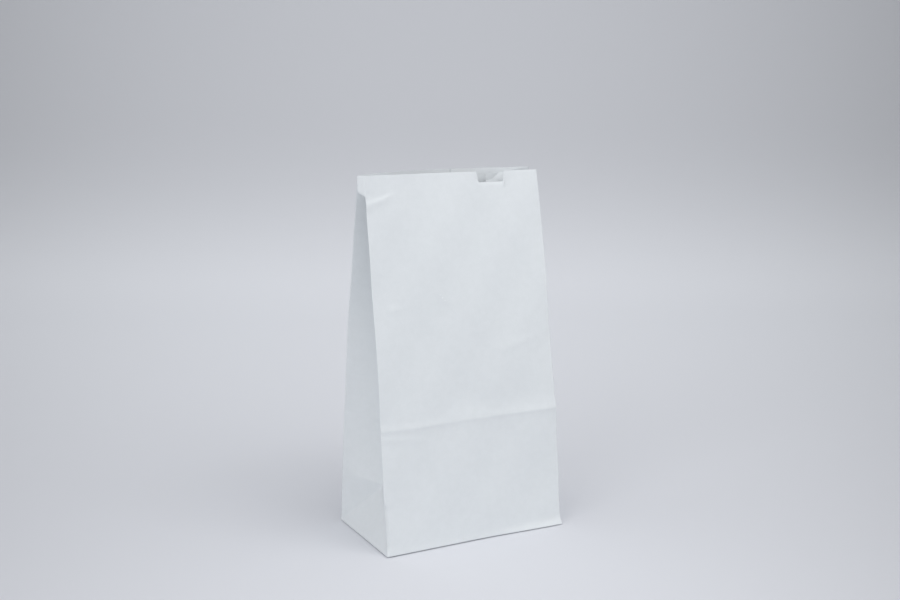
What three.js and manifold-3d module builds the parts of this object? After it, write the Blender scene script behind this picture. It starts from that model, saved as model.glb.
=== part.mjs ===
// Paper merchandise bag: one sheet of white paper, folded and glued into a flat-bottomed bag with
// side gussets. It stands with its base open and its mouth almost closed.
// Millimetres, +Z up. The front panel faces -Y, and the origin is under the middle of the base.
import * as THREE from 'three';
import { mergeVertices } from 'three/addons/utils/BufferGeometryUtils.js';
import Module from 'manifold-3d';

const wasm = await Module();
wasm.setup();

// The sheet, with heights measured along the paper
const bagWidth = 109.5;
const bagDepth = 63;
const sheetHeight = 202.5;
const ply = 0.15;
const gussetFoldRadius = 0.5;

// Storage fold, where the bag was folded flat
const storageFoldHeight = 67.3;
const foldRidge = 0.4;
const foldRidgeReach = 4;

// How the panels lean towards each other
const leanAtFold = 6.7;
const panelBow = 1;
const mouthGap = 8.5;
const mouthShift = 0.4;
const mouthTwist = 3.06;
const mouthBulge = 5.5;
const bulgePeakFromLeft = 40;

// Thumb notch in the front panel's top edge
const notchCentre = 23;
const notchWidth = 16.5;
const notchDepth = 6;
const notchCornerRadius = 2;
const notchReach = 1.5;

// Front left corner of the mouth, bent forwards along a slanting fold
const bentCornerDrop = 15;
const bentCornerRun = 33;
const bentCornerAngle = 7;

// Glued joints of the sheet
const seamWidth = 12;
const baseFlapOverlap = 16;

// Longest facet along and across the paper
const rowStep = 7;
const columnStep = 8;

// How far a glued layer runs into the next, as a share of the ply, and how near two points are one
const gluedShare = 0.5;
const weldDistance = 1e-4;

const paperWhite = 0xf3f5f8;
const paperRoughness = 0.62;

const halfWidth = bagWidth / 2;
const halfDepth = bagDepth / 2;
const gussetWidth = halfDepth;
const upperHeight = sheetHeight - storageFoldHeight;
const lowerRise = Math.sqrt(storageFoldHeight ** 2 - leanAtFold ** 2);
const basePlies = 2;

const front = -1;
const back = 1;
const left = -1;
const right = 1;

// Values from the first stop to the last, with every stop among them and no step over the longest
function divide(stops, longest) {
  const values = [stops[0]];
  for (let i = 1; i < stops.length; i += 1) {
    const span = stops[i] - stops[i - 1];
    const parts = Math.ceil(span / longest);
    for (let part = 1; part <= parts; part += 1) values.push(stops[i - 1] + (span * part) / parts);
  }
  return values;
}

// Where a panel's top edge lies. The back panel bulges, which opens the mouth like a lens.
function mouthY(face, x) {
  const twist = Math.tan(THREE.MathUtils.degToRad(mouthTwist)) * x;
  const straight = mouthShift + (face * mouthGap) / 2 + twist;
  if (face === front) return straight;
  const across = (x + halfWidth) / bagWidth;
  const skew = Math.log(0.5) / Math.log(bulgePeakFromLeft / bagWidth);
  return straight + mouthBulge * Math.sin(Math.PI * across ** skew);
}

// Paper pressed along a fold line keeps a low ridge. The back has a second line at gusset height.
function ridge(face, height) {
  const lines = face === front ? [storageFoldHeight] : [gussetWidth, storageFoldHeight];
  const heights = lines.map((line) => 1 - Math.abs(height - line) / foldRidgeReach);
  return foldRidge * Math.max(0, ...heights);
}

// How far the bent corner stands forward of the front panel
function bentCorner(x, height) {
  const foldHeight = sheetHeight - bentCornerDrop * (1 - (x + halfWidth) / bentCornerRun);
  const beyond = Math.max(0, height - foldHeight);
  return beyond * Math.tan(THREE.MathUtils.degToRad(bentCornerAngle));
}

// A point of the front or back panel. The paper keeps its length, so a panel that leans less
// stands higher.
function panelPoint(face, x, height) {
  let y;
  let z;
  if (height <= storageFoldHeight) {
    const up = height / storageFoldHeight;
    y = face * (halfDepth - leanAtFold * up);
    z = lowerRise * up;
  } else {
    const up = (height - storageFoldHeight) / upperHeight;
    const foldY = face * (halfDepth - leanAtFold);
    const travel = mouthY(face, x) - foldY;
    y = foldY + travel * up + face * panelBow * 4 * up * (1 - up);
    z = lowerRise + up * Math.sqrt(upperHeight ** 2 - travel ** 2);
  }
  y += face * ridge(face, height);
  if (face === front) y -= bentCorner(x, height);
  return new THREE.Vector3(x, y, z);
}

function cornerPoint(side, face, height) {
  return panelPoint(face, side * halfWidth, height);
}

// The apex of the side triangle, as far from the base's corners and from both panels' edges as the
// flat paper is
function gussetApex(side) {
  const frontEdge = cornerPoint(side, front, gussetWidth);
  const backEdge = cornerPoint(side, back, gussetWidth);
  const middle = frontEdge.clone().lerp(backEdge, 0.5);
  const halfGap = (backEdge.y - frontEdge.y) / 2;
  const rise = (halfGap ** 2 + middle.z ** 2) / (2 * middle.z);
  const inset = Math.sqrt(gussetWidth ** 2 - rise ** 2);
  return new THREE.Vector3(side * (halfWidth - inset), middle.y, rise);
}

// The gusset's centre fold above the apex. It sinks inwards as the mouth closes.
function gussetFold(side, height) {
  const frontEdge = cornerPoint(side, front, height);
  const backEdge = cornerPoint(side, back, height);
  const drop = cornerPoint(side, front, gussetWidth).z - gussetApex(side).z;
  const middle = frontEdge.clone().lerp(backEdge, 0.5);
  const halfGap = (backEdge.y - frontEdge.y) / 2;
  const inset = Math.sqrt(gussetWidth ** 2 - halfGap ** 2 - drop ** 2);
  return new THREE.Vector3(side * (halfWidth - inset), middle.y, middle.z - drop);
}

// The inner edge of a gusset half: the side triangle's fold below the apex, and the centre fold
// above it, with room for the fold's radius
function gussetHalfEdge(side, face, height) {
  const share = (gussetWidth - gussetFoldRadius) / gussetWidth;
  if (height >= gussetWidth) {
    return cornerPoint(side, face, height).lerp(gussetFold(side, height), share);
  }
  return cornerPoint(side, face, 0).lerp(gussetApex(side), height / gussetWidth);
}

// Half a gusset at one height, from the panel's edge inwards
function gussetHalf(side, face, height) {
  const outer = cornerPoint(side, face, height);
  const inner = gussetHalfEdge(side, face, height);
  const shares = divide([0, gussetWidth], columnStep).map((width) => width / gussetWidth);
  return shares.map((share) => outer.clone().lerp(inner, share));
}

const seamEdges = [-seamWidth / 2, seamWidth / 2];
const columns = divide([-halfWidth, ...seamEdges, halfWidth], columnStep);
const rows = divide(
  [
    0, gussetWidth - gussetFoldRadius, gussetWidth,
    storageFoldHeight - foldRidgeReach, storageFoldHeight, storageFoldHeight + foldRidgeReach,
    sheetHeight,
  ],
  rowStep,
);

// The wall's points at one height, once round from the front left corner
function ringAt(height) {
  const frontPoints = columns.map((x) => panelPoint(front, x, height));
  const backPoints = columns.map((x) => panelPoint(back, x, height)).reverse();
  return [
    ...frontPoints,
    ...gussetHalf(right, front, height).slice(1),
    ...gussetHalf(right, back, height).reverse().slice(0, -1),
    ...backPoints,
    ...gussetHalf(left, back, height).slice(1),
    ...gussetHalf(left, front, height).reverse().slice(0, -1),
  ];
}

// An indexed surface without the triangles that shrank to a line
function surfaceFrom(triangles) {
  const positions = triangles.flat().flatMap((point) => point.toArray());
  const geometry = new THREE.BufferGeometry();
  geometry.setAttribute('position', new THREE.Float32BufferAttribute(positions, 3));
  const merged = mergeVertices(geometry, weldDistance);
  const kept = [];
  const index = merged.index.array;
  for (let i = 0; i < index.length; i += 3) {
    const [a, b, c] = index.slice(i, i + 3);
    if (a !== b && b !== c && c !== a) kept.push(a, b, c);
  }
  merged.setIndex(kept);
  return merged;
}

// Triangles between neighbouring lines of points, facing out when the lines run anticlockwise
function stripTriangles(lines, closed) {
  const triangles = [];
  for (let row = 0; row + 1 < lines.length; row += 1) {
    const lower = lines[row];
    const upper = lines[row + 1];
    const cells = closed ? lower.length : lower.length - 1;
    for (let i = 0; i < cells; i += 1) {
      const next = (i + 1) % lower.length;
      triangles.push([lower[i], lower[next], upper[next]]);
      triangles.push([lower[i], upper[next], upper[i]]);
    }
  }
  return triangles;
}

// The whole sheet's outer surface, open at the mouth
function bagSurface() {
  const frontEdge = columns.map((x) => panelPoint(front, x, 0));
  const backEdge = columns.map((x) => panelPoint(back, x, 0));
  const walls = stripTriangles(rows.map(ringAt), true);
  const base = stripTriangles([backEdge, frontEdge], false);
  return surfaceFrom([...walls, ...base]);
}

// How each vertex moves when every face round it moves by one unit along its normal
function offsetDirections(geometry) {
  const position = geometry.attributes.position;
  const index = geometry.index.array;
  const emptySum = () => ({ m: new Array(9).fill(0), v: new THREE.Vector3() });
  const pointAt = (vertex) => new THREE.Vector3().fromBufferAttribute(position, vertex);
  const sums = Array.from({ length: position.count }, emptySum);
  for (let i = 0; i < index.length; i += 3) {
    const corners = [...index.slice(i, i + 3)].map(pointAt);
    const normal = new THREE.Triangle(...corners).getNormal(new THREE.Vector3());
    const n = normal.toArray();
    for (let k = 0; k < 3; k += 1) {
      const sum = sums[index[i + k]];
      for (let r = 0; r < 9; r += 1) sum.m[r] += n[Math.floor(r / 3)] * n[r % 3];
      sum.v.add(normal);
    }
  }
  const steady = 1e-5;
  return sums.map(({ m, v }) => {
    const matrix = new THREE.Matrix3().set(...m);
    for (const r of [0, 4, 8]) matrix.elements[r] += steady;
    return v.applyMatrix3(matrix.invert());
  });
}

// A closed sheet of paper from an open surface, moved inwards and outwards along its faces
function thicken(geometry, inwards, outwards) {
  const position = geometry.attributes.position;
  const index = Array.from(geometry.index.array);
  const directions = offsetDirections(geometry);
  const count = position.count;
  const points = [];
  for (const distance of [outwards, -inwards]) {
    for (let i = 0; i < count; i += 1) {
      const point = new THREE.Vector3().fromBufferAttribute(position, i);
      points.push(...point.addScaledVector(directions[i], distance).toArray());
    }
  }
  const triangles = [...index];
  const edges = new Set();
  for (let i = 0; i < index.length; i += 3) {
    const [a, b, c] = index.slice(i, i + 3);
    triangles.push(count + a, count + c, count + b);
    for (const edge of [[a, b], [b, c], [c, a]]) edges.add(edge.join());
  }
  for (const edge of edges) {
    const [a, b] = edge.split(',').map(Number);
    if (!edges.has([b, a].join())) triangles.push(a, count + a, b, b, count + a, count + b);
  }
  const solid = new THREE.BufferGeometry();
  solid.setAttribute('position', new THREE.Float32BufferAttribute(points, 3));
  solid.setIndex(triangles);
  return solid;
}

function toManifold(geometry) {
  const bare = geometry.clone();
  bare.deleteAttribute('normal');
  bare.deleteAttribute('uv');
  const merged = mergeVertices(bare, weldDistance);
  return new wasm.Manifold(new wasm.Mesh({
    numProp: 3,
    vertProperties: new Float32Array(merged.attributes.position.array),
    triVerts: new Uint32Array(merged.index.array),
  }));
}

function toGeometry(manifold) {
  const mesh = manifold.getMesh();
  const geometry = new THREE.BufferGeometry();
  geometry.setAttribute('position', new THREE.BufferAttribute(new Float32Array(mesh.vertProperties), 3));
  geometry.setIndex(new THREE.BufferAttribute(new Uint32Array(mesh.triVerts), 1));
  geometry.computeVertexNormals();
  return geometry;
}

// The glued seam down the middle of the back: a second ply on the panel's outside
function backSeam() {
  const seamColumns = columns.filter((x) => x >= seamEdges[0] && x <= seamEdges[1]).reverse();
  const lines = rows.map((height) => seamColumns.map((x) => panelPoint(back, x, height)));
  return thicken(surfaceFrom(stripTriangles(lines, false)), ply * gluedShare, ply);
}

// A flap folded in under the base, with its ends cut off at 45 degrees by the side folds
function baseFlap(face, reach, layer) {
  const edge = halfDepth - ply;
  const end = halfWidth - ply;
  const shape = new THREE.Shape([
    new THREE.Vector2(-end, face * edge),
    new THREE.Vector2(end, face * edge),
    new THREE.Vector2(end - reach, face * (edge - reach)),
    new THREE.Vector2(-end + reach, face * (edge - reach)),
  ]);
  const depth = ply * (1 + gluedShare);
  const flap = new THREE.ExtrudeGeometry(shape, { depth, bevelEnabled: false });
  return flap.translate(0, 0, (layer - basePlies) * ply);
}

// The front flap closes the base over the back flap, so it is the lowest
function baseFlaps() {
  const flapReach = halfDepth + baseFlapOverlap / 2 - ply;
  return [
    baseFlap(front, flapReach, 0),
    baseFlap(front, flapReach - baseFlapOverlap, 1),
    baseFlap(back, flapReach, 1),
  ];
}

// The notch's outline, extruded through the front panel alone. The panel leans forwards below the
// mouth, so the cut reaches out as far as the notch is deep.
function notchCutter() {
  const half = notchWidth / 2;
  const above = notchDepth;
  const shape = new THREE.Shape();
  shape.moveTo(-half, above);
  shape.lineTo(-half, -notchDepth + notchCornerRadius);
  shape.quadraticCurveTo(-half, -notchDepth, -half + notchCornerRadius, -notchDepth);
  shape.lineTo(half - notchCornerRadius, -notchDepth);
  shape.quadraticCurveTo(half, -notchDepth, half, -notchDepth + notchCornerRadius);
  shape.lineTo(half, above);
  shape.closePath();
  const depth = notchReach + notchDepth;
  const cutter = new THREE.ExtrudeGeometry(shape, { depth, bevelEnabled: false, curveSegments: 4 });
  const topEdge = panelPoint(front, notchCentre, sheetHeight);
  cutter.rotateX(Math.PI / 2);
  cutter.translate(0, notchReach, 0);
  cutter.rotateZ(THREE.MathUtils.degToRad(mouthTwist));
  return cutter.translate(topEdge.x, topEdge.y, topEdge.z);
}

function paperBag() {
  let solid = toManifold(thicken(bagSurface(), ply, 0));
  for (const piece of [backSeam(), ...baseFlaps()]) solid = solid.add(toManifold(piece));
  solid = solid.subtract(toManifold(notchCutter()));
  const geometry = toGeometry(solid).translate(0, 0, basePlies * ply);
  const material = new THREE.MeshStandardMaterial({
    color: paperWhite,
    roughness: paperRoughness,
    metalness: 0,
  });
  const mesh = new THREE.Mesh(geometry, material);
  mesh.name = 'paper_bag';
  return mesh;
}

const group = new THREE.Group();
group.add(paperBag());

export default group;
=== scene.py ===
"""Looks of a white paper merchandise bag: one folded sheet, standing open at its base."""
import math

import bpy
import numpy as np
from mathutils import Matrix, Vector


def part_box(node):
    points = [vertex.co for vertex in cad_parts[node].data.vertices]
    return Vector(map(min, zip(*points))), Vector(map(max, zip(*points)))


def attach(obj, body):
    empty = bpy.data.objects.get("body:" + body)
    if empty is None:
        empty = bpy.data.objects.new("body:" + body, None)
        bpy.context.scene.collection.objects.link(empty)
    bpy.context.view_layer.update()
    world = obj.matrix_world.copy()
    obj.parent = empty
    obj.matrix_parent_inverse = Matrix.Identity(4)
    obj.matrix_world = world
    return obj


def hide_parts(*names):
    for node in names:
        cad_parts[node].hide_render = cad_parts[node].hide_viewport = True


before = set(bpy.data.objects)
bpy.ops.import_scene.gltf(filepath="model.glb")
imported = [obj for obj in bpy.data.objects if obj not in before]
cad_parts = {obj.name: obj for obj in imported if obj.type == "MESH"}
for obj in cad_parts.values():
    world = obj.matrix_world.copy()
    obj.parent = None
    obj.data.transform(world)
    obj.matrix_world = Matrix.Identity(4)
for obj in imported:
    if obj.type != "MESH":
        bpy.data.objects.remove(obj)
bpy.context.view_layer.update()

MM = 0.001
LOW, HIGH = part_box("paper_bag")
HALF_WIDTH = HIGH.x / MM
HALF_DEPTH = -LOW.y / MM
WIDTH = 2 * HALF_WIDTH
DEPTH = 2 * HALF_DEPTH
GUSSET = HALF_DEPTH
PERIMETER = 2 * WIDTH + 2 * DEPTH

# The sheet in millimetres, with heights measured along the paper
SHEET_HEIGHT = 202.5
PAPER = 0.12
FOLD_SOFTNESS = 0.45
APEX_STRIP = 0.6

# The front left edge is unpressed beside the side triangle: how round it is, how far that reaches
# round the bag, and where it starts and ends up the edge
EDGE_ROUNDING = 3.2
EDGE_REACH = 4.5
EDGE_RISE = 5.0
EDGE_TOP = GUSSET - 1.0
EDGE_FADE = 6.0

# How it stands; the panels are worked out a little beyond the mouth, for the rounding of folds
STORAGE_FOLD = 67.3
LEAN_AT_FOLD = 6.7
PANEL_BOW = 1.0
MOUTH_GAP = 8.5
MOUTH_SHIFT = 0.4
MOUTH_TWIST = math.radians(3.06)
MOUTH_BULGE = 5.5
BULGE_PEAK = 40.0
UPPER_HEIGHT = SHEET_HEIGHT - STORAGE_FOLD
LOWER_RISE = math.sqrt(STORAGE_FOLD**2 - LEAN_AT_FOLD**2)
BEYOND_MOUTH = 1.05

# The base: its folded edge stands a little off the ground, and flares out most at the right
BASE_LIFT = 0.25
BASE_SETTLE = 6.0
BASE_PLIES = 2.5
BASE_FLARE = 2.4
FLARE_AT_MIDDLE = 0.16
FLARE_HEIGHT = 5.0

# Thumb notch in the front panel's top edge
NOTCH_CENTRE = 23.0
NOTCH_WIDTH = 16.5
NOTCH_DEPTH = 6.0
NOTCH_SIDE = 1.0
NOTCH_FLOOR = SHEET_HEIGHT - NOTCH_DEPTH
TOP_BAND = 12.0

# Its curled cut edges: how far a side curls and reaches, and for each side how far below the
# notch's floor the curl starts and over what height it grows
NOTCH_CURL = 0.6
CURL_REACH = 0.9
CURL_INSIDE = 0.6
LEFT_CURL_BELOW, LEFT_CURL_RISE = 0.5, 2.0
RIGHT_CURL_BELOW, RIGHT_CURL_RISE = 3.5, 2.5

# The floor's curl and the crumple right of the notch, as shares of the sides' curl
LIP_CURL = 0.7
LIP_REACH = 1.2
LIP_TAPER = 2.0
CRUMPLE = 0.4
CRUMPLE_BESIDE = 2.4
CRUMPLE_REACH = 0.6
CRUMPLE_START = 197.5
CRUMPLE_RISE = 3.0

# Bent front left corner: its slanting line, and the bright crease pressed into it
CORNER_DROP = 15.0
CORNER_RUN = 33.0
CORNER_CURVE = 1.5
CORNER_ANGLE = math.radians(4)
CREASE_HEIGHT = 0.6
CREASE_ABOVE = 1.0
CREASE_BELOW = 3.2
CREASE_END = -34.0
CREASE_FADE = 12.0

# The fold beside it has popped out into a small ear at the top
EAR_WIDTH = 4.2
EAR_HEIGHT = 11.5
EAR_START = SHEET_HEIGHT - EAR_HEIGHT
EAR_TAPER = 2.8
EAR_TURN = math.radians(28)
EAR_PUSH = 3.0

# The right gusset's front half sags away from the front panel behind the notch
POCKET_SAG = 3.0
POCKET_START = 150.0
POCKET_RISE = 45.0

# A gusset half: the crease across it, level with the side triangle's top, and its slow wave
GUSSET_CREASE = 1.6
GUSSET_CREASE_ABOVE = 26.0
GUSSET_CREASE_BELOW = 13.0
GUSSET_WAVE = 1.3
GUSSET_WAVE_RISE = 30.0
GUSSET_WAVE_START = 1.7

# Storage fold: how far it stands off the panel, how far it reaches above and below, and where
# along the panel its upper side is softest
STORAGE_RIDGE = 0.46
RIDGE_ABOVE = 3.4
RIDGE_BELOW = 1.8
RIDGE_SOFTEST = -3.0
RIDGE_SPREAD = 11.0
RIDGE_WIDENING = 2.5

# A short faint line under it, from the left edge inwards
SECOND_RIDGE = 0.36
SECOND_REACH = 1.0
SECOND_START = 62.6
SECOND_SLOPE = 0.07
SECOND_END = -22.0
SECOND_FADE = 22.0

# The dip above it
WAIST_DIP = 0.5
WAIST_TOP = 96.0
WAIST_FADE_ABOVE = 24.0
WAIST_FADE_BELOW = 9.0
WAIST_LEFT = -40.0
WAIST_RUN = 60.0

# A faint ridge across the back panel, level with the side triangle's top
BACK_RIDGE = 0.4
BACK_RIDGE_REACH = 1.6

# Slow waves of the handled paper: size, waves per millimetre across and up, start
WAVES = [(0.45, 0.013, 0.009, 0.4), (0.22, -0.024, 0.016, 2.1), (0.1, 0.032, 0.027, 4.0)]
WAVES_RISE = 25.0
BACK_WAVES_START = 2.6

# A thumb's crescent on the front panel: a short piece of a circle
THUMB_X = -4.5
THUMB_HEIGHT = 143.3
THUMB_RADIUS = 12.0
THUMB_TURN = math.radians(-137)
THUMB_SPREAD = 0.5
THUMB_REACH = 1.3
THUMB_RELIEF = 0.6

# Small marks on the front panel: relief, place across and up, reach across and up, slope.
# They are a dent, two hollows in the bent corner and a wrinkle.
MARKS = [
    (0.5, -43.0, 131.0, 3.6, 1.5, 0.0),
    (-0.3, -52.0, 192.5, 1.8, 2.0, 0.0),
    (-0.25, -47.5, 186.5, 2.4, 1.4, 0.0),
    (0.3, 30.0, 106.0, 13.0, 2.2, 0.2),
]

# Glued joints
SEAM_WIDTH = 12.0
SEAM_START = 1.0
SEAM_CLIMB = 2.5
FLAP_OVERLAP = 16.0
FLAP_START = 0.6
FLAP_SIDE_GAP = 0.3
GLUE_LINE = 0.01
PLY_OVERLAP = 0.001

# Mesh steps: the finest, the coarsest and the growth away from a line. Those of a gusset half and
# of the strip between two halves are shares of its width.
ROW_STEPS = (0.35, 1.6, 0.22)
COLUMN_STEPS = (0.22, 1.4, 0.35)
HALF_STEPS = (0.012, 0.13, 0.35)
STRIP_STEPS = (0.03, 0.25, 0.35)
SEAM_STEPS = (1.2, 4.0, 0.35)
SEAM_COLUMNS = 9
FLAP_ROWS = 6
FLAP_COLUMNS = 41
FOLD_SAMPLES = 5
SHARP_ANGLE = math.radians(50)

# Lengths below these count as nothing, and the damping steadies the offset of a flat spot
TINY = 1e-6
NO_NORMAL = 1e-9
OFFSET_DAMPING = 2e-2

# Colours, and the roughness of the glazed outside and the plain inside
CLOUD_DARK = (0.752, 0.781, 0.80)
CLOUD_LIGHT = (0.768, 0.797, 0.817)
# The inside's paler colours are painted light, standing in for light that shines through the thin paper
PAINTED_LIT_INSIDE_DARK = (0.865, 0.89, 0.91)
PAINTED_LIT_INSIDE_LIGHT = (0.885, 0.91, 0.93)
FIBRE_TINT = (0.984, 0.987, 0.99)
OUTSIDE_ROUGHNESS = (0.5, 0.62)
INSIDE_ROUGHNESS = (0.7, 0.8)
# The stage's tones are painted light and shade: palest where the floor turns up, darker in front and at the
# back
STAGE_FRONT = (0.75, 0.76, 0.80)
STAGE_TURN = (0.935, 0.95, 0.99)
STAGE_BACK = (0.70, 0.71, 0.747)

# The stage in metres: a floor that turns up into a wall
STAGE_REACH = 14.0
WALL_DISTANCE = 1.6
WALL_HEIGHT = 3.5
TURN_RADIUS = 1.0
TURN_STEPS = 24

# Its three tones from front to back are painted light and shade; so is its fall towards both sides,
# measured as the distance from the middle line over the distance from a point in front of the bag;
# that painted shade fades in from front to back
TONES_FROM, TONES_TO = -0.1, 1.3
TONE_PLACES = [0, 0.58, 0.93]
FALL_ORIGIN = 0.65
FALL_NEAREST = 0.3
FALL_WIDEST = 1.5
FALL_AT_BAG = 0.9
FALL_GROWTH = 0.6
FALL_LEAST = 0.5
FALL_MOST = 0.25
FALL_FROM, FALL_TO = -2.6, 0.2
FALL_LEAN = -0.06

# Light: the world, and each lamp's name, place, aim, size in metres and power in watts
WORLD_COLOUR = (0.97, 0.985, 1)
WORLD_STRENGTH = 0.735
LAMPS = [
    ("bank", (0.1, -0.5, 1.3), (0, 0, 0.1), (1.0, 0.8), 2.5),
    ("near", (0.1, -0.28, 0.48), (0.03, -0.01, 0.17), (0.25, 0.2), 0.36),
    ("side", (-1.1, -0.65, 0.75), (0, 0, 0.1), (0.8, 0.8), 3.0),
]

# The photograph's view, in metres, with the lens and the sensor in millimetres
VIEW_AZIMUTH = math.radians(-27.872)
VIEW_ELEVATION = math.radians(10.502)
VIEW_DISTANCE = 0.6672
VIEW_TARGET = (-0.0003, 0, 0.1300)
LENS = 48
SENSOR = 36

FRONT, BACK = -1, 1
LEFT, RIGHT = -1, 1


def smooth(t):
    """A soft step from zero to one."""
    t = np.clip(t, 0, 1)
    return t * t * (3 - 2 * t)


def hump(distance, reach):
    """A soft bump, one in the middle and almost gone at twice the reach."""
    return np.exp(-((distance / reach) ** 2))


def graded(low, high, stops, steps):
    """Values from low to high, close together near the stops."""
    fine, coarse, growth = steps
    values = [low]
    while values[-1] < high:
        near = min(abs(values[-1] - stop) for stop in stops)
        values.append(values[-1] + min(coarse, fine + growth * near))
    values = np.array(values)
    return low + (values - low) * (high - low) / (values[-1] - low)


def mouth_y(face, x):
    """Where a panel's top edge lies; the back panel bulges and opens the mouth like a lens."""
    straight = MOUTH_SHIFT + face * MOUTH_GAP / 2 + math.tan(MOUTH_TWIST) * x
    across = np.clip((x + HALF_WIDTH) / WIDTH, 0, 1)
    skew = math.log(0.5) / math.log(BULGE_PEAK / WIDTH)
    bulge = MOUTH_BULGE * np.sin(math.pi * across**skew)
    return straight + np.where(face == BACK, bulge, 0)


def bend_height(x):
    """Height of the slanting crease below the bent corner."""
    along = np.clip((x + HALF_WIDTH) / CORNER_RUN, 0, None)
    return SHEET_HEIGHT - CORNER_DROP * (1 - along**CORNER_CURVE)


def bent_corner(x, s):
    """How far the bent corner stands forward, with the bright crease that was pressed into it."""
    above = s - bend_height(x)
    crease = hump(above, np.where(above > 0, CREASE_ABOVE, CREASE_BELOW))
    crease = crease * smooth((CREASE_END - x) / CREASE_FADE)
    return np.maximum(0, above) * math.tan(CORNER_ANGLE) + CREASE_HEIGHT * crease


def storage_ridge(x, s):
    """The fold that was pressed while the bag lay flat; its upper side is softest in the middle."""
    above = s - STORAGE_FOLD
    reach = RIDGE_ABOVE * (1 + RIDGE_WIDENING * hump(x - RIDGE_SOFTEST, RIDGE_SPREAD))
    upper = np.clip(1 - above / reach, 0, 1)
    return STORAGE_RIDGE * np.where(above > 0, upper, np.exp(above / RIDGE_BELOW))


def second_ridge(x, s):
    """A short faint line under the storage fold, at the left."""
    line = SECOND_START - SECOND_SLOPE * (x + HALF_WIDTH)
    return SECOND_RIDGE * hump(s - line, SECOND_REACH) * smooth((SECOND_END - x) / SECOND_FADE)


def waist(x, s):
    """The panel sinks a little above the storage fold, most at the right."""
    upwards = smooth((WAIST_TOP - s) / WAIST_FADE_ABOVE) * smooth((s - STORAGE_FOLD) / WAIST_FADE_BELOW)
    return -WAIST_DIP * upwards * smooth((x - WAIST_LEFT) / WAIST_RUN)


def thumb_crescent(x, s):
    """The curved mark that a thumb pressed into the panel."""
    radius = np.hypot(x - THUMB_X, s - THUMB_HEIGHT)
    angle = np.arctan2(s - THUMB_HEIGHT, x - THUMB_X)
    along = hump(angle - THUMB_TURN, THUMB_SPREAD)
    return THUMB_RELIEF * hump(radius - THUMB_RADIUS, THUMB_REACH) * along


def handling_marks(x, s):
    """The thumb's crescent and the small marks of handling."""
    total = thumb_crescent(x, s)
    for size, at, up, wide, high, slope in MARKS:
        total = total + size * hump(x - at, wide) * hump(s - up - slope * (x - at), high)
    return total


def notch_curl(x, s):
    """The cut edges of the notch are curled: in at its left side and its bottom, out at its right."""
    beside = np.abs(x - NOTCH_CENTRE) - NOTCH_WIDTH / 2
    at_right = x > NOTCH_CENTRE
    over_floor = s - NOTCH_FLOOR
    left_rise = smooth((over_floor + LEFT_CURL_BELOW) / LEFT_CURL_RISE)
    right_rise = smooth((over_floor + RIGHT_CURL_BELOW) / RIGHT_CURL_RISE)
    side = np.sign(x - NOTCH_CENTRE) * np.exp(-np.maximum(beside, 0) / CURL_REACH)
    side = np.where(beside > -CURL_INSIDE, side * np.where(at_right, right_rise, left_rise), 0)
    lip = -LIP_CURL * np.exp(-np.maximum(-over_floor, 0) / LIP_REACH) * smooth(-beside / LIP_TAPER)
    crumple = CRUMPLE * hump(beside - CRUMPLE_BESIDE, CRUMPLE_REACH)
    crumple = crumple * smooth((s - CRUMPLE_START) / CRUMPLE_RISE) * at_right
    return NOTCH_CURL * (side + lip + crumple)


def waves(x, s, start=0.0):
    """The paper isn't quite flat anywhere."""
    swell = 0
    for size, across, up, at in WAVES:
        swell = swell + size * np.sin(2 * math.pi * (across * x + up * s) + at + start)
    return swell * smooth(s / WAVES_RISE)


def base_flare(x, s):
    """The lowest few millimetres turn out towards the floor, most at the right."""
    share = FLARE_AT_MIDDLE + (1 - FLARE_AT_MIDDLE) * smooth(x / HALF_WIDTH)
    return BASE_FLARE * share * np.clip(1 - s / FLARE_HEIGHT, 0, 1) ** 2


def relief(face, x, s):
    """How far a panel stands out from its plain shape."""
    front = storage_ridge(x, s) + second_ridge(x, s) + waist(x, s) + handling_marks(x, s)
    front = front + notch_curl(x, s) + bent_corner(x, s) + waves(x, s)
    back = storage_ridge(-x, s) + BACK_RIDGE * hump(s - GUSSET, BACK_RIDGE_REACH)
    back = back + waves(-x, s, BACK_WAVES_START)
    return np.where(face == FRONT, front, back) + base_flare(x, s)


def base_z(inset):
    """The base's edge is a soft fold, so it stands a little off the ground."""
    return BASE_LIFT * (1 - smooth(inset / BASE_SETTLE)) + BASE_PLIES * PAPER


def panel_point(face, x, s):
    """A point of the front or back panel; below zero the sheet runs in under the base."""
    face, x, s = np.broadcast_arrays(face, x, s)
    up = np.clip(s / STORAGE_FOLD, 0, 1)
    lower_y = face * (HALF_DEPTH - LEAN_AT_FOLD * up)
    lower_z = LOWER_RISE * up
    high = np.clip((s - STORAGE_FOLD) / UPPER_HEIGHT, 0, BEYOND_MOUTH)
    fold_y = face * (HALF_DEPTH - LEAN_AT_FOLD)
    travel = mouth_y(face, x) - fold_y
    upper_y = fold_y + travel * high + face * PANEL_BOW * 4 * high * (1 - high)
    upper_z = LOWER_RISE + high * np.sqrt(UPPER_HEIGHT**2 - travel**2)
    under = np.maximum(0, -s)
    y = np.where(s <= STORAGE_FOLD, lower_y, upper_y) - face * under
    z = np.where(s <= STORAGE_FOLD, lower_z, upper_z) + base_z(under)
    y = y + face * relief(face, x, s)
    x = x * (HALF_WIDTH - under) / HALF_WIDTH
    return np.stack([x, y, z], -1)


def corner(side, face, s):
    """A point of the fold between a panel and a side gusset."""
    return panel_point(face, side * HALF_WIDTH, s)


def gusset_apex(side):
    """The side triangle's top, where the flat paper's lengths put it."""
    front = corner(side, FRONT, np.array(GUSSET))
    back = corner(side, BACK, np.array(GUSSET))
    lift = corner(side, FRONT, np.array(0.0))[2]
    half_gap = (back[1] - front[1]) / 2
    height = (front[2] + back[2]) / 2 - lift
    rise = (half_gap**2 + height**2) / (2 * height)
    inset = math.sqrt(GUSSET**2 - rise**2)
    return np.array([side * (HALF_WIDTH - inset), (front[1] + back[1]) / 2, rise + lift])


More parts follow.
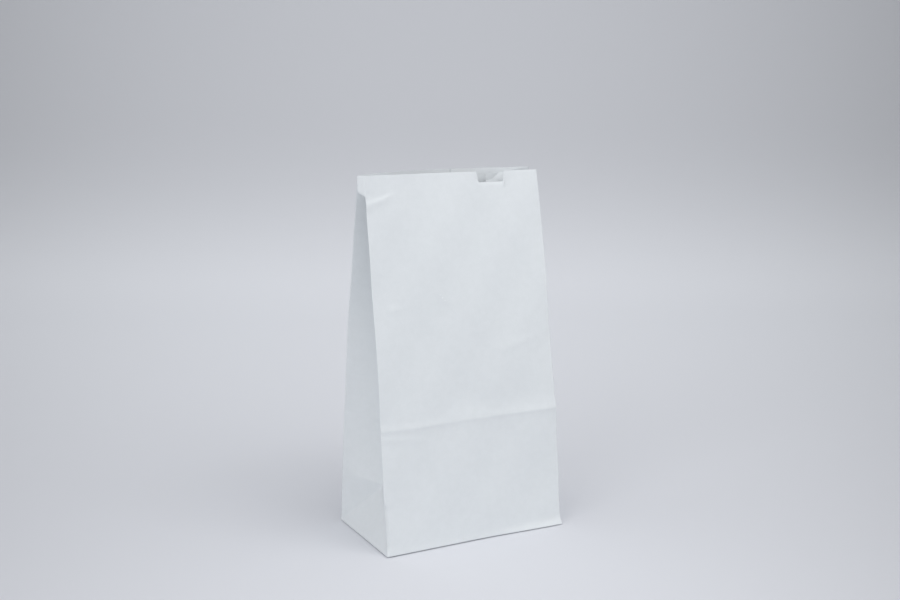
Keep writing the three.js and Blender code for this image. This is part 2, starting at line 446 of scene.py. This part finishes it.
def ear_width(side, s):
    """Width of the strip by the front left fold that popped out of the gusset."""
    return np.where(side == LEFT, EAR_WIDTH * np.clip((s - EAR_START) / EAR_TAPER, 0, 1), 0)


def gusset_fold(side, s):
    """The gusset's centre fold above the apex."""
    s = np.maximum(s, GUSSET)
    front, back = corner(side, FRONT, s), corner(side, BACK, s)
    drop = corner(side, FRONT, np.array(GUSSET))[2] - gusset_apex(side)[2]
    half_gap = (back[..., 1] - front[..., 1]) / 2
    inset = np.sqrt(GUSSET**2 - half_gap**2 - drop**2)
    middle = (front + back) / 2
    pushed = EAR_PUSH * smooth(ear_width(side, s) / EAR_WIDTH)
    return np.stack([side * (HALF_WIDTH - inset + pushed), middle[..., 1], middle[..., 2] - drop], -1)


def half_edge(side, face, s):
    """Inner edge of a gusset half: the side triangle's fold, then the centre fold."""
    low = corner(side, face, np.minimum(s, 0))
    share = (np.clip(s, 0, GUSSET) / GUSSET)[..., None]
    diagonal = low + (gusset_apex(side) - low) * share
    return np.where((s < GUSSET)[..., None], diagonal, gusset_fold(side, s))


def half_relief(side, face, from_edge, inward, s):
    """How far a gusset half leaves its plain shape: a slow wave, the crease and the pocket's sag."""
    above = s - GUSSET
    arch = np.sin(math.pi * inward) * smooth(above / GUSSET_WAVE_RISE)
    swell = GUSSET_WAVE * waves(from_edge, s, GUSSET_WAVE_START * face) * arch
    fade = np.where(above > 0, 1 - above / GUSSET_CREASE_ABOVE, 1 + above / GUSSET_CREASE_BELOW)
    swell = swell + GUSSET_CREASE * np.clip(fade, 0, 1) * np.sin(math.pi * inward)
    in_pocket = (side == RIGHT) & (face == FRONT)
    sag = np.where(in_pocket, POCKET_SAG * arch * smooth((s - POCKET_START) / POCKET_RISE), 0)
    return np.stack([side * swell, sag, 0 * swell], -1)


def half_point(side, face, from_edge, reach, s):
    """A point of a gusset half, with the ear at its outer edge."""
    outer, inner = corner(side, face, s), half_edge(side, face, s)
    ear = np.where(face == FRONT, ear_width(side, s), 0)
    tip = outer + ear[..., None] * np.array([side * math.cos(EAR_TURN), math.sin(EAR_TURN), 0])
    outward = np.clip(from_edge / np.maximum(ear, TINY), 0, 1)
    inward = np.clip((from_edge - ear) / np.maximum(reach - ear, TINY), 0, 1)
    on_ear = outer + (tip - outer) * outward[..., None]
    on_half = tip + (inner - tip) * inward[..., None]
    point = np.where((from_edge < ear)[..., None], on_ear, on_half)
    return point + half_relief(side, face, from_edge, inward, s)


def gusset_point(side, t, s):
    """A point of a side gusset, t millimetres round from its front corner."""
    reach = np.clip(s, TINY, GUSSET)
    from_edge = np.minimum(t, DEPTH - t)
    face = np.where(t < GUSSET, FRONT, BACK)
    half = half_point(side, face, from_edge, reach, s)
    share = np.clip((t - reach) / np.maximum(DEPTH - 2 * reach, TINY), 0, 1)[..., None]
    front, back = half_edge(side, FRONT, s), half_edge(side, BACK, s)
    triangle = front + (back - front) * share
    return np.where((from_edge <= reach)[..., None], half, triangle)


def place(u, s):
    """The sharp-folded sheet: u runs round the bag from the front left corner, s up the paper."""
    u = np.mod(u, PERIMETER)
    right_end, back_end = WIDTH + DEPTH, 2 * WIDTH + DEPTH
    regions = [
        (0, WIDTH, lambda v, h: panel_point(FRONT, v - HALF_WIDTH, h)),
        (WIDTH, right_end, lambda v, h: gusset_point(RIGHT, v - WIDTH, h)),
        (right_end, back_end, lambda v, h: panel_point(BACK, HALF_WIDTH + right_end - v, h)),
        (back_end, PERIMETER, lambda v, h: gusset_point(LEFT, PERIMETER - v, h)),
    ]
    points = np.zeros(u.shape + (3,))
    for start, end, shape in regions:
        inside = (u >= start) & (u < end)
        points[inside] = shape(u[inside], s[inside])
    return points


def soft_place(u, s):
    """The sheet with its folds rounded, as the mean of the sharp one over a small window."""
    to_corner = np.minimum(np.abs(u), np.abs(u - PERIMETER))
    unpressed = smooth(s / EDGE_RISE) * smooth((EDGE_TOP - s) / EDGE_FADE)
    reach = FOLD_SOFTNESS + EDGE_ROUNDING * unpressed * hump(to_corner, EDGE_REACH)
    total = 0
    steps = np.linspace(-1, 1, FOLD_SAMPLES)
    for du in steps:
        for ds in steps * FOLD_SOFTNESS:
            total = total + place(u + du * reach, s + ds)
    return total / FOLD_SAMPLES**2


def notch_edge(x):
    """Height of the front panel's cut edge: a shallow notch with nearly upright sides."""
    from_side = NOTCH_WIDTH / 2 - np.abs(x - NOTCH_CENTRE)
    return SHEET_HEIGHT - NOTCH_DEPTH * smooth(from_side / NOTCH_SIDE + 0.5)


def sheet_grid():
    """Sheet coordinates of the wall's vertices: one row per height, one column round the bag."""
    lines = [0, GUSSET, STORAGE_FOLD, EAR_START, SHEET_HEIGHT]
    rows = graded(-BASE_SETTLE, SHEET_HEIGHT, lines, ROW_STEPS)
    notch_sides = [NOTCH_CENTRE - NOTCH_WIDTH / 2, NOTCH_CENTRE + NOTCH_WIDTH / 2]
    x = graded(-HALF_WIDTH, HALF_WIDTH, [-HALF_WIDTH, *notch_sides, HALF_WIDTH], COLUMN_STEPS)
    half = graded(0, 1, [0, 1], HALF_STEPS)
    strip = graded(0, 1, [0, 1], STRIP_STEPS)
    u_rows, s_rows = [], []
    for s in rows:
        reach = min(max(s, 0), GUSSET - APEX_STRIP / 2)
        middle = reach + (DEPTH - 2 * reach) * strip
        t = np.concatenate([half * reach, middle[1:], (DEPTH - half[::-1] * reach)[1:]])
        front = x + HALF_WIDTH
        back = WIDTH + DEPTH + HALF_WIDTH - x[::-1]
        u = np.concatenate([front, WIDTH + t[1:], back[1:], (2 * WIDTH + DEPTH + t)[1:-1]])
        height = np.full(u.shape, s)
        if s > SHEET_HEIGHT - TOP_BAND:
            start = SHEET_HEIGHT - TOP_BAND
            height[: len(x)] = start + (s - start) * (notch_edge(x) - start) / TOP_BAND
        u_rows.append(u)
        s_rows.append(height)
    return np.array(u_rows), np.array(s_rows), x, strip, half


def grid_faces(rows, columns, closed):
    """Outward-facing quads between neighbouring rows of points."""
    last = columns if closed else columns - 1
    row, column = np.meshgrid(np.arange(rows - 1), np.arange(last), indexing="ij")
    beside = (column + 1) % columns
    a, b = row * columns + column, row * columns + beside
    return np.stack([a, b, b + columns, a + columns], -1).reshape(-1, 4)


def offset_directions(points, faces):
    """Per vertex, the move that shifts every face round it by one unit along its normal."""
    corners = points[faces]
    normals = np.cross(corners[:, 2] - corners[:, 0], corners[:, 3] - corners[:, 1])
    length = np.linalg.norm(normals, axis=1, keepdims=True)
    good = length[:, 0] > NO_NORMAL
    normals = np.where(length > NO_NORMAL, normals / np.maximum(length, NO_NORMAL), 0)
    matrix = np.zeros((len(points), 3, 3))
    vector = np.zeros((len(points), 3))
    outer = normals[:, :, None] * normals[:, None, :]
    for column in range(faces.shape[1]):
        np.add.at(matrix, faces[good, column], outer[good])
        np.add.at(vector, faces[good, column], normals[good])
    matrix += np.eye(3) * OFFSET_DAMPING
    return np.linalg.solve(matrix, vector[..., None])[..., 0]


def weld(points, faces, distance=0.01):
    """Joins points that lie together."""
    keys = np.round(points / distance).astype(np.int64)
    _, first, back = np.unique(keys, axis=0, return_index=True, return_inverse=True)
    return points[first], back.reshape(-1)[faces]


def thicken(points, faces):
    """Gives an open surface the paper's thickness, half to each side."""
    directions = offset_directions(points, faces)
    count = len(points)
    outer = points + directions * PAPER / 2
    inner = points - directions * PAPER / 2
    edges = np.stack([faces, np.roll(faces, -1, axis=1)], -1).reshape(-1, 2)
    edges = edges[edges[:, 0] != edges[:, 1]]
    codes = edges[:, 0] * count + edges[:, 1]
    reverse = edges[:, 1] * count + edges[:, 0]
    rim = edges[~np.isin(codes, reverse)]
    sides = np.stack([rim[:, 1], rim[:, 0], rim[:, 0] + count, rim[:, 1] + count], -1)
    return np.concatenate([outer, inner]), np.concatenate([faces, faces[:, ::-1] + count, sides])


def join(sheets):
    """Several meshes as one."""
    points, faces, count = [], [], 0
    for sheet_points, sheet_faces in sheets:
        points.append(sheet_points)
        faces.append(sheet_faces + count)
        count += len(sheet_points)
    return np.concatenate(points), np.concatenate(faces)


def make_object(name, points, faces):
    """A Blender mesh in metres from millimetre points; repeated corners are dropped."""
    clean = []
    for face in faces.tolist():
        kept = [vertex for i, vertex in enumerate(face) if vertex != face[i - 1]]
        if len(kept) >= 3 and len(set(kept)) == len(kept):
            clean.append(kept)
    mesh = bpy.data.meshes.new(name)
    mesh.from_pydata((points * MM).tolist(), [], clean)
    mesh.validate()
    mesh.shade_smooth()
    mesh.set_sharp_from_angle(angle=SHARP_ANGLE)
    obj = bpy.data.objects.new(name, mesh)
    bpy.context.scene.collection.objects.link(obj)
    return obj


def base_plate(points, across, strip, half):
    """Rows of vertices from the front edge to the back one, with the new points between them."""
    deep = len(strip)
    right_start = (across - 1) + (half - 1)
    back_start = right_start + (half - 1) + (deep - 1)
    left_start = back_start + (across - 1) + (half - 1)
    front_edge = np.arange(across)
    back_edge = back_start + np.arange(across)[::-1]
    grid = np.zeros((deep, across), int)
    grid[:, -1] = right_start + np.arange(deep)
    grid[:, 0] = left_start + np.arange(deep)[::-1]
    grid[0], grid[-1] = front_edge, back_edge
    inner = []
    for row in range(1, deep - 1):
        for column in range(1, across - 1):
            grid[row, column] = len(points) + len(inner)
            low, high = points[front_edge[column]], points[back_edge[column]]
            inner.append(low + (high - low) * strip[row])
    faces = np.stack([grid[:-1, :-1], grid[1:, :-1], grid[1:, 1:], grid[:-1, 1:]], -1)
    return np.array(inner), faces.reshape(-1, 4)


def bag_surface():
    """The wall from the mouth down and in under the base, closed by the base plate."""
    u, s, x, strip, half = sheet_grid()
    points = soft_place(u, s).reshape(-1, 3)
    inner, base = base_plate(points, len(x), strip, len(half))
    return weld(np.concatenate([points, inner]), np.concatenate([grid_faces(*u.shape, True), base]))


def back_seam():
    """The glued seam down the back: its left edge is a cut edge, and its right one runs on."""
    x = np.linspace(SEAM_WIDTH / 2, -SEAM_WIDTH / 2, SEAM_COLUMNS)
    s = graded(SEAM_START, SHEET_HEIGHT, [0, GUSSET, STORAGE_FOLD], SEAM_STEPS)
    across, up = np.meshgrid(x, s)
    points = panel_point(BACK, across, up)
    lies_on = smooth((SEAM_WIDTH / 2 - across) / SEAM_CLIMB)
    points[..., 1] += (PAPER + GLUE_LINE) * (2 * lies_on - 1)
    return points.reshape(-1, 3), grid_faces(*across.shape, False)


def base_flap(face, reach, layer):
    """A flap folded in under the base, with its ends cut off at 45 degrees by the side folds."""
    near = np.linspace(FLAP_START, BASE_SETTLE, FLAP_ROWS)
    far = np.linspace(BASE_SETTLE, reach, FLAP_ROWS)[1:]
    across, deep = np.meshgrid(np.linspace(-1, 1, FLAP_COLUMNS), np.concatenate([near, far]))
    x = across * (HALF_WIDTH - FLAP_SIDE_GAP - deep)
    y = face * (HALF_DEPTH - deep)
    z = base_z(np.minimum(deep, HALF_WIDTH - np.abs(x))) - layer * (PAPER - PLY_OVERLAP)
    faces = grid_faces(*across.shape, False)
    if face == BACK:
        faces = faces[:, ::-1]
    return np.stack([x, y, z], -1).reshape(-1, 3), faces[:, ::-1]


def face_inside(mesh, count):
    """Gives the second material to the wall's inner side, whose points follow the outer ones."""
    for polygon in mesh.polygons:
        if all(count <= vertex < 2 * count for vertex in polygon.vertices):
            polygon.material_index = 1


def paper_bag():
    """The whole folded sheet: wall and base, the seam's second ply and the two base flaps."""
    reach = HALF_DEPTH + FLAP_OVERLAP / 2
    wall = bag_surface()
    sheets = [wall, back_seam(), base_flap(BACK, reach, 1), base_flap(FRONT, reach, 2)]
    bag = make_object("paper_bag_sheet", *join([thicken(*sheet) for sheet in sheets]))
    outside = white_paper("white_paper", CLOUD_DARK, CLOUD_LIGHT, *OUTSIDE_ROUGHNESS)
    # The inside material is a paler copy of the paper: painted light inside the bag
    inside = white_paper("white_paper_inside_painted_light", PAINTED_LIT_INSIDE_DARK, PAINTED_LIT_INSIDE_LIGHT, *INSIDE_ROUGHNESS)
    bag.data.materials.append(outside)
    bag.data.materials.append(inside)
    face_inside(bag.data, len(wall[0]))
    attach(bag, "root")
    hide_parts("paper_bag")


def add_node(tree, kind, **inputs):
    """A shader node with some of its sockets set by name."""
    node = tree.nodes.new(kind)
    for name, value in inputs.items():
        node.inputs[name.replace("_", " ")].default_value = value
    return node


def calculate(tree, operation, *values):
    """A maths node; each value is a number or another node's output."""
    node = tree.nodes.new("ShaderNodeMath")
    node.operation = operation
    for socket, value in zip(node.inputs, values):
        if isinstance(value, float):
            socket.default_value = value
        else:
            tree.links.new(value, socket)
    return node.outputs[0]


def ramp(tree, source, positions, colours):
    """Colours spread over a value from 0 to 1, with soft turns."""
    node = tree.nodes.new("ShaderNodeValToRGB")
    node.color_ramp.interpolation = "EASE"
    while len(node.color_ramp.elements) < len(positions):
        node.color_ramp.elements.new(0.5)
    for element, position, colour in zip(node.color_ramp.elements, positions, colours):
        element.position = position
        element.color = (*colour, 1)
    tree.links.new(source, node.inputs["Fac"])
    return node.outputs["Color"]


def white_paper(name, dark, light, glossy, matt):
    """White paper: cloudy formation, fibres along the web and a soft gloss."""
    material = bpy.data.materials.new(name)
    material.use_nodes = True
    tree = material.node_tree
    links = tree.links
    shader = tree.nodes["Principled BSDF"]
    shader.inputs["Specular IOR Level"].default_value = 0.35
    coordinates = tree.nodes.new("ShaderNodeTexCoord")

    clouds = add_node(tree, "ShaderNodeTexNoise", Scale=240.0, Detail=3.0, Roughness=0.55)
    links.new(coordinates.outputs["Object"], clouds.inputs["Vector"])
    stretch = add_node(tree, "ShaderNodeMapping", Scale=(1.0, 1.0, 0.28))
    links.new(coordinates.outputs["Object"], stretch.inputs["Vector"])
    fibres = add_node(tree, "ShaderNodeTexNoise", Scale=2600.0, Detail=4.0, Roughness=0.6, Distortion=0.6)
    links.new(stretch.outputs["Vector"], fibres.inputs["Vector"])

    tone = ramp(tree, clouds.outputs["Fac"], [0.3, 0.7], [dark, light])
    flecks = ramp(tree, fibres.outputs["Fac"], [0.35, 0.65], [FIBRE_TINT, (1, 1, 1)])
    mixed = add_node(tree, "ShaderNodeMix")
    mixed.data_type = "RGBA"
    mixed.blend_type = "MULTIPLY"
    mixed.inputs["Factor"].default_value = 1
    # A mix node's colours are its sockets 6 and 7, and its mixed colour is output 2
    links.new(tone, mixed.inputs[6])
    links.new(flecks, mixed.inputs[7])
    links.new(mixed.outputs[2], shader.inputs["Base Color"])

    gloss = ramp(tree, clouds.outputs["Fac"], [0.3, 0.7], [(glossy,) * 3, (matt,) * 3])
    links.new(gloss, shader.inputs["Roughness"])

    coarse = add_node(tree, "ShaderNodeBump", Strength=0.15, Distance=0.0002)
    links.new(clouds.outputs["Fac"], coarse.inputs["Height"])
    fine = add_node(tree, "ShaderNodeBump", Strength=0.15, Distance=0.00005)
    links.new(fibres.outputs["Fac"], fine.inputs["Height"])
    links.new(coarse.outputs["Normal"], fine.inputs["Normal"])
    links.new(fine.outputs["Normal"], shader.inputs["Normal"])
    return material


def stage_painted_shade(tree, split):
    """Painted shade for the stage: a factor for its tone, a little below one towards both sides."""
    away = calculate(tree, "ADD", split.outputs["Y"], FALL_ORIGIN)
    away = calculate(tree, "MAXIMUM", away, FALL_NEAREST)
    aside = calculate(tree, "DIVIDE", split.outputs["X"], away)
    aside = calculate(tree, "MAXIMUM", aside, -FALL_WIDEST)
    aside = calculate(tree, "MINIMUM", aside, FALL_WIDEST)
    strength = calculate(tree, "MULTIPLY_ADD", split.outputs["Y"], FALL_GROWTH, FALL_AT_BAG)
    strength = calculate(tree, "MAXIMUM", strength, FALL_LEAST)
    shade = calculate(tree, "MULTIPLY", aside, aside)
    shade = calculate(tree, "MULTIPLY", shade, strength)
    shade = calculate(tree, "MINIMUM", shade, FALL_MOST)
    fade_in = add_node(tree, "ShaderNodeMapRange", From_Min=FALL_FROM, From_Max=FALL_TO)
    fade_in.interpolation_type = "SMOOTHSTEP"
    tree.links.new(split.outputs["Y"], fade_in.inputs["Value"])
    shade = calculate(tree, "MULTIPLY", shade, fade_in.outputs["Result"])
    lean = calculate(tree, "MULTIPLY_ADD", aside, FALL_LEAN, 1.0)
    return calculate(tree, "MINIMUM", calculate(tree, "SUBTRACT", lean, shade), 1.0)


def stage_material():
    """Matt pale grey with painted light and shade: lightest where the floor turns up into the backdrop,
    darker at the sides.
    """
    material = bpy.data.materials.new("sweep")
    material.use_nodes = True
    tree = material.node_tree
    shader = tree.nodes["Principled BSDF"]
    shader.inputs["Roughness"].default_value = 0.9
    shader.inputs["Specular IOR Level"].default_value = 0.1
    coordinates = tree.nodes.new("ShaderNodeTexCoord")
    split = tree.nodes.new("ShaderNodeSeparateXYZ")
    tree.links.new(coordinates.outputs["Object"], split.inputs["Vector"])

    # Painted light and shade from front to back
    depth = add_node(tree, "ShaderNodeMapRange", From_Min=TONES_FROM, From_Max=TONES_TO)
    tree.links.new(split.outputs["Y"], depth.inputs["Value"])
    tone = ramp(tree, depth.outputs["Result"], TONE_PLACES, [STAGE_FRONT, STAGE_TURN, STAGE_BACK])
    scaled = tree.nodes.new("ShaderNodeVectorMath")
    scaled.operation = "SCALE"
    tree.links.new(tone, scaled.inputs[0])
    # Painted shade towards both sides
    tree.links.new(stage_painted_shade(tree, split), scaled.inputs["Scale"])
    tree.links.new(scaled.outputs[0], shader.inputs["Base Color"])
    return material


def sweep():
    """Floor and backdrop in one curved sheet."""
    profile = [(-STAGE_REACH, 0.0)]
    for step in range(TURN_STEPS + 1):
        angle = math.pi / 2 * step / TURN_STEPS
        y = WALL_DISTANCE - TURN_RADIUS + TURN_RADIUS * math.sin(angle)
        profile.append((y, TURN_RADIUS - TURN_RADIUS * math.cos(angle)))
    profile.append((WALL_DISTANCE, WALL_HEIGHT))
    points = []
    for y, z in profile:
        points += [(-STAGE_REACH, y, z), (STAGE_REACH, y, z)]
    faces = [(2 * i, 2 * i + 1, 2 * i + 3, 2 * i + 2) for i in range(len(profile) - 1)]
    mesh = bpy.data.meshes.new("sweep")
    mesh.from_pydata(points, [], faces)
    mesh.shade_smooth()
    floor = bpy.data.objects.new("sweep", mesh)
    bpy.context.scene.collection.objects.link(floor)
    floor.rotation_euler.z = VIEW_AZIMUTH
    floor.data.materials.append(stage_material())


def area_light(name, location, target, size, power):
    """A rectangular lamp that faces its target."""
    light = bpy.data.lights.new(name, "AREA")
    light.shape = "RECTANGLE"
    light.size, light.size_y = size
    light.energy = power
    obj = bpy.data.objects.new(name, light)
    obj.location = location
    aim = Vector(target) - Vector(location)
    obj.rotation_euler = aim.to_track_quat("-Z", "Y").to_euler()
    bpy.context.scene.collection.objects.link(obj)


def lights():
    """A soft studio: a pale world, a bank above the front, a small lamp near the mouth, one at the left."""
    world = bpy.data.worlds.new("studio")
    world.use_nodes = True
    background = world.node_tree.nodes["Background"]
    background.inputs["Color"].default_value = (*WORLD_COLOUR, 1)
    background.inputs["Strength"].default_value = WORLD_STRENGTH
    bpy.context.scene.world = world
    for lamp in LAMPS:
        area_light(*lamp)


def camera():
    """The photograph's view: a 48 mm lens, 28 degrees to the left, 10.5 degrees up."""
    away = Vector((
        math.sin(VIEW_AZIMUTH) * math.cos(VIEW_ELEVATION),
        -math.cos(VIEW_AZIMUTH) * math.cos(VIEW_ELEVATION),
        math.sin(VIEW_ELEVATION),
    ))
    data = bpy.data.cameras.new("camera")
    data.sensor_width = SENSOR
    data.lens = LENS
    obj = bpy.data.objects.new("camera", data)
    obj.location = Vector(VIEW_TARGET) + away * VIEW_DISTANCE
    obj.rotation_euler = (-away).to_track_quat("-Z", "Y").to_euler()
    bpy.context.scene.collection.objects.link(obj)
    bpy.context.scene.camera = obj


camera()
lights()
sweep()
paper_bag()
bpy.context.scene.view_settings.view_transform = "Standard"
